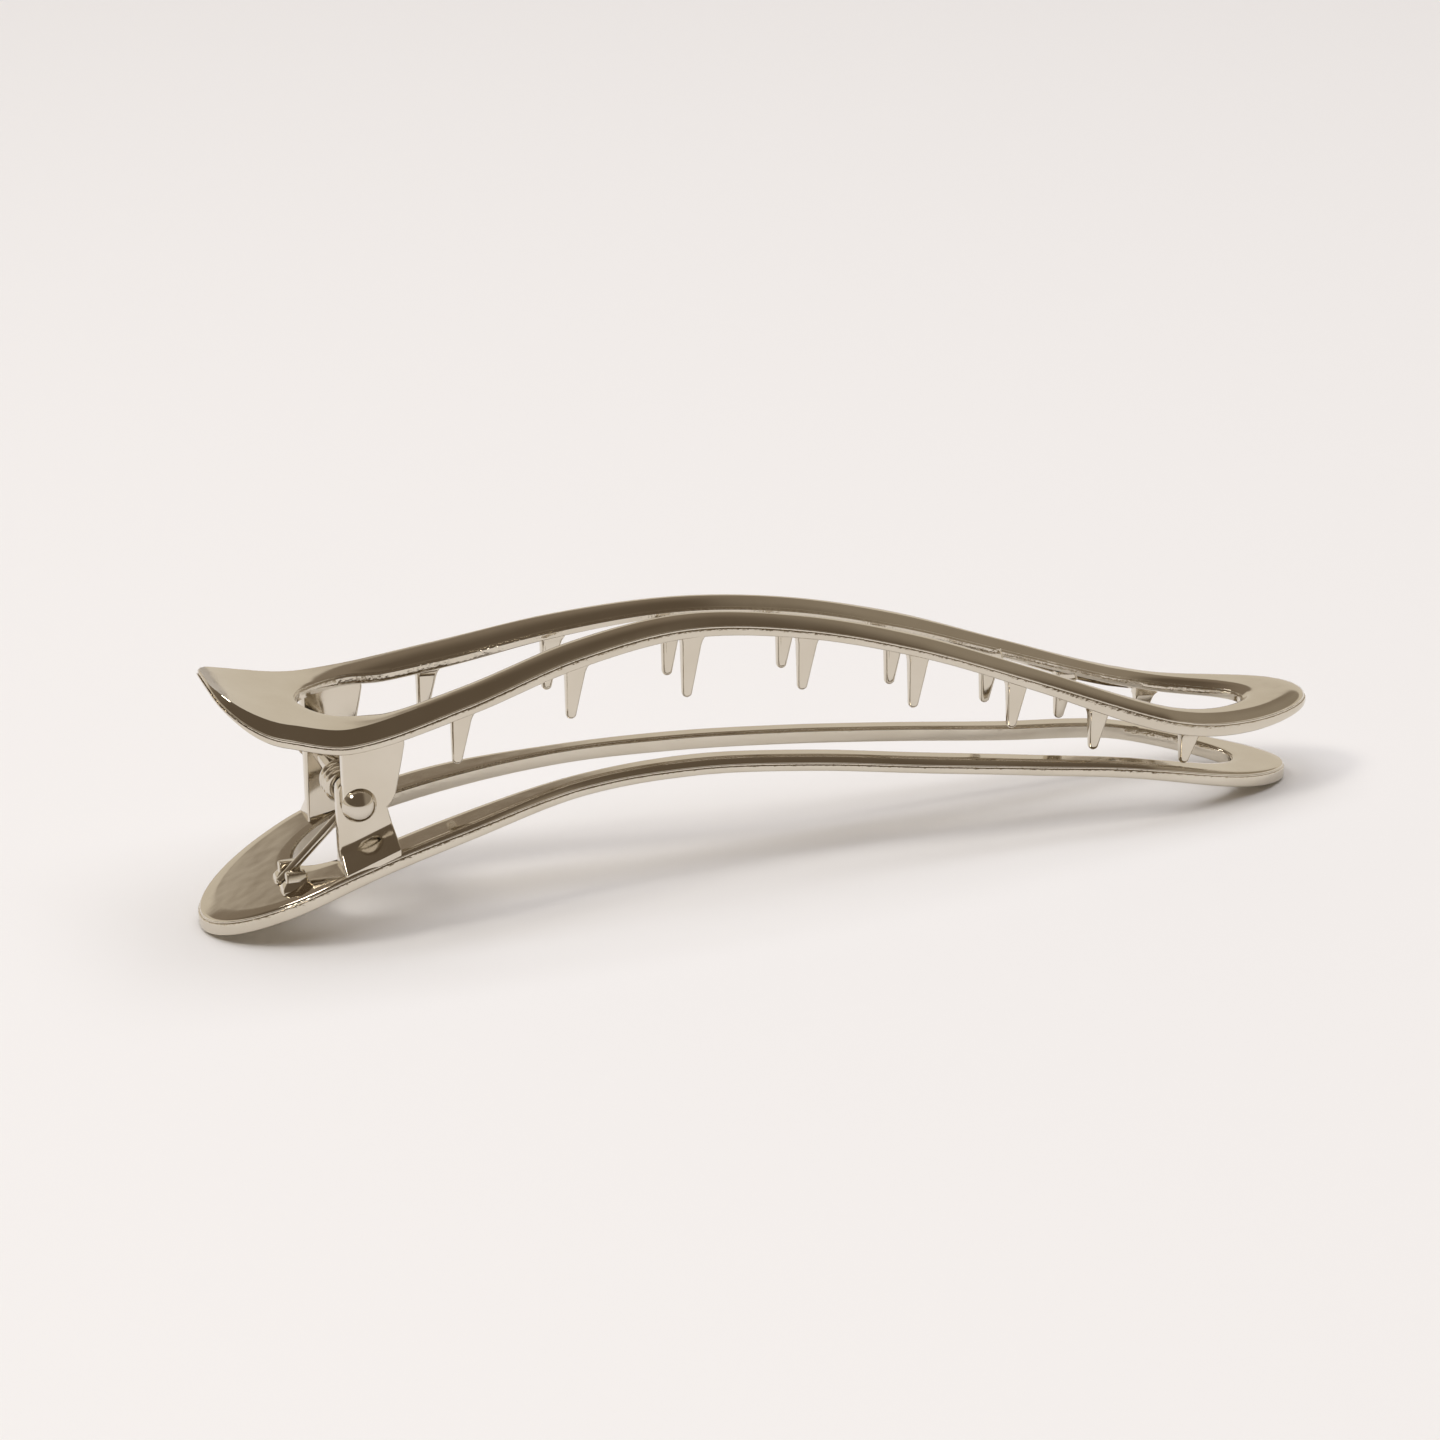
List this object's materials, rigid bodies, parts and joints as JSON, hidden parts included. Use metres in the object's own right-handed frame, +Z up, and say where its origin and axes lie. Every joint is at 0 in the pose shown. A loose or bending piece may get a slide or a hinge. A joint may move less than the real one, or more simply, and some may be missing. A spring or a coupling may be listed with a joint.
{
  "type": "alligator hair clip",
  "caption": "Long metal alligator hair clip: two open wave-shaped jaws with teeth, hinged on a rivet and held shut by a torsion spring.",
  "frame": {"origin": "on the resting surface, under the middle of the closed clip's bounding box", "axes": "+X from the thumb plates to the tips, +Y across the clip along the rivet, +Z up"},
  "size_m": [0.118, 0.0204, 0.0273],
  "materials": {
    "plated_casting": "polished warm nickel plating over a die casting",
    "plated_rivet": "polished warm nickel plating",
    "spring_wire": "bright drawn wire"
  },
  "bodies": {
    "lower_jaw": {"lower_frame": "plated_casting", "lower_ear_near": "plated_casting", "lower_ear_far": "plated_casting", "lower_spring_stops": "plated_casting"},
    "upper_jaw": {"upper_frame": "plated_casting", "upper_teeth_near": "plated_casting", "upper_teeth_far": "plated_casting", "upper_ear_near": "plated_casting", "upper_ear_far": "plated_casting", "upper_spring_stops": "plated_casting", "hinge_rivet": "plated_rivet", "torsion_spring": "spring_wire"}
  },
  "joints": [
    {"name": "jaw_hinge", "type": "hinge", "parent": "lower_jaw", "child": "upper_jaw", "pos_m": [-0.0446, 0, 0.0145], "axis": [0, -1, 0], "range_deg": [0, 60], "stiffness_Nm_per_rad": 0.19, "springref_deg": -36.1, "deforming": ["torsion_spring"]}
  ]
}
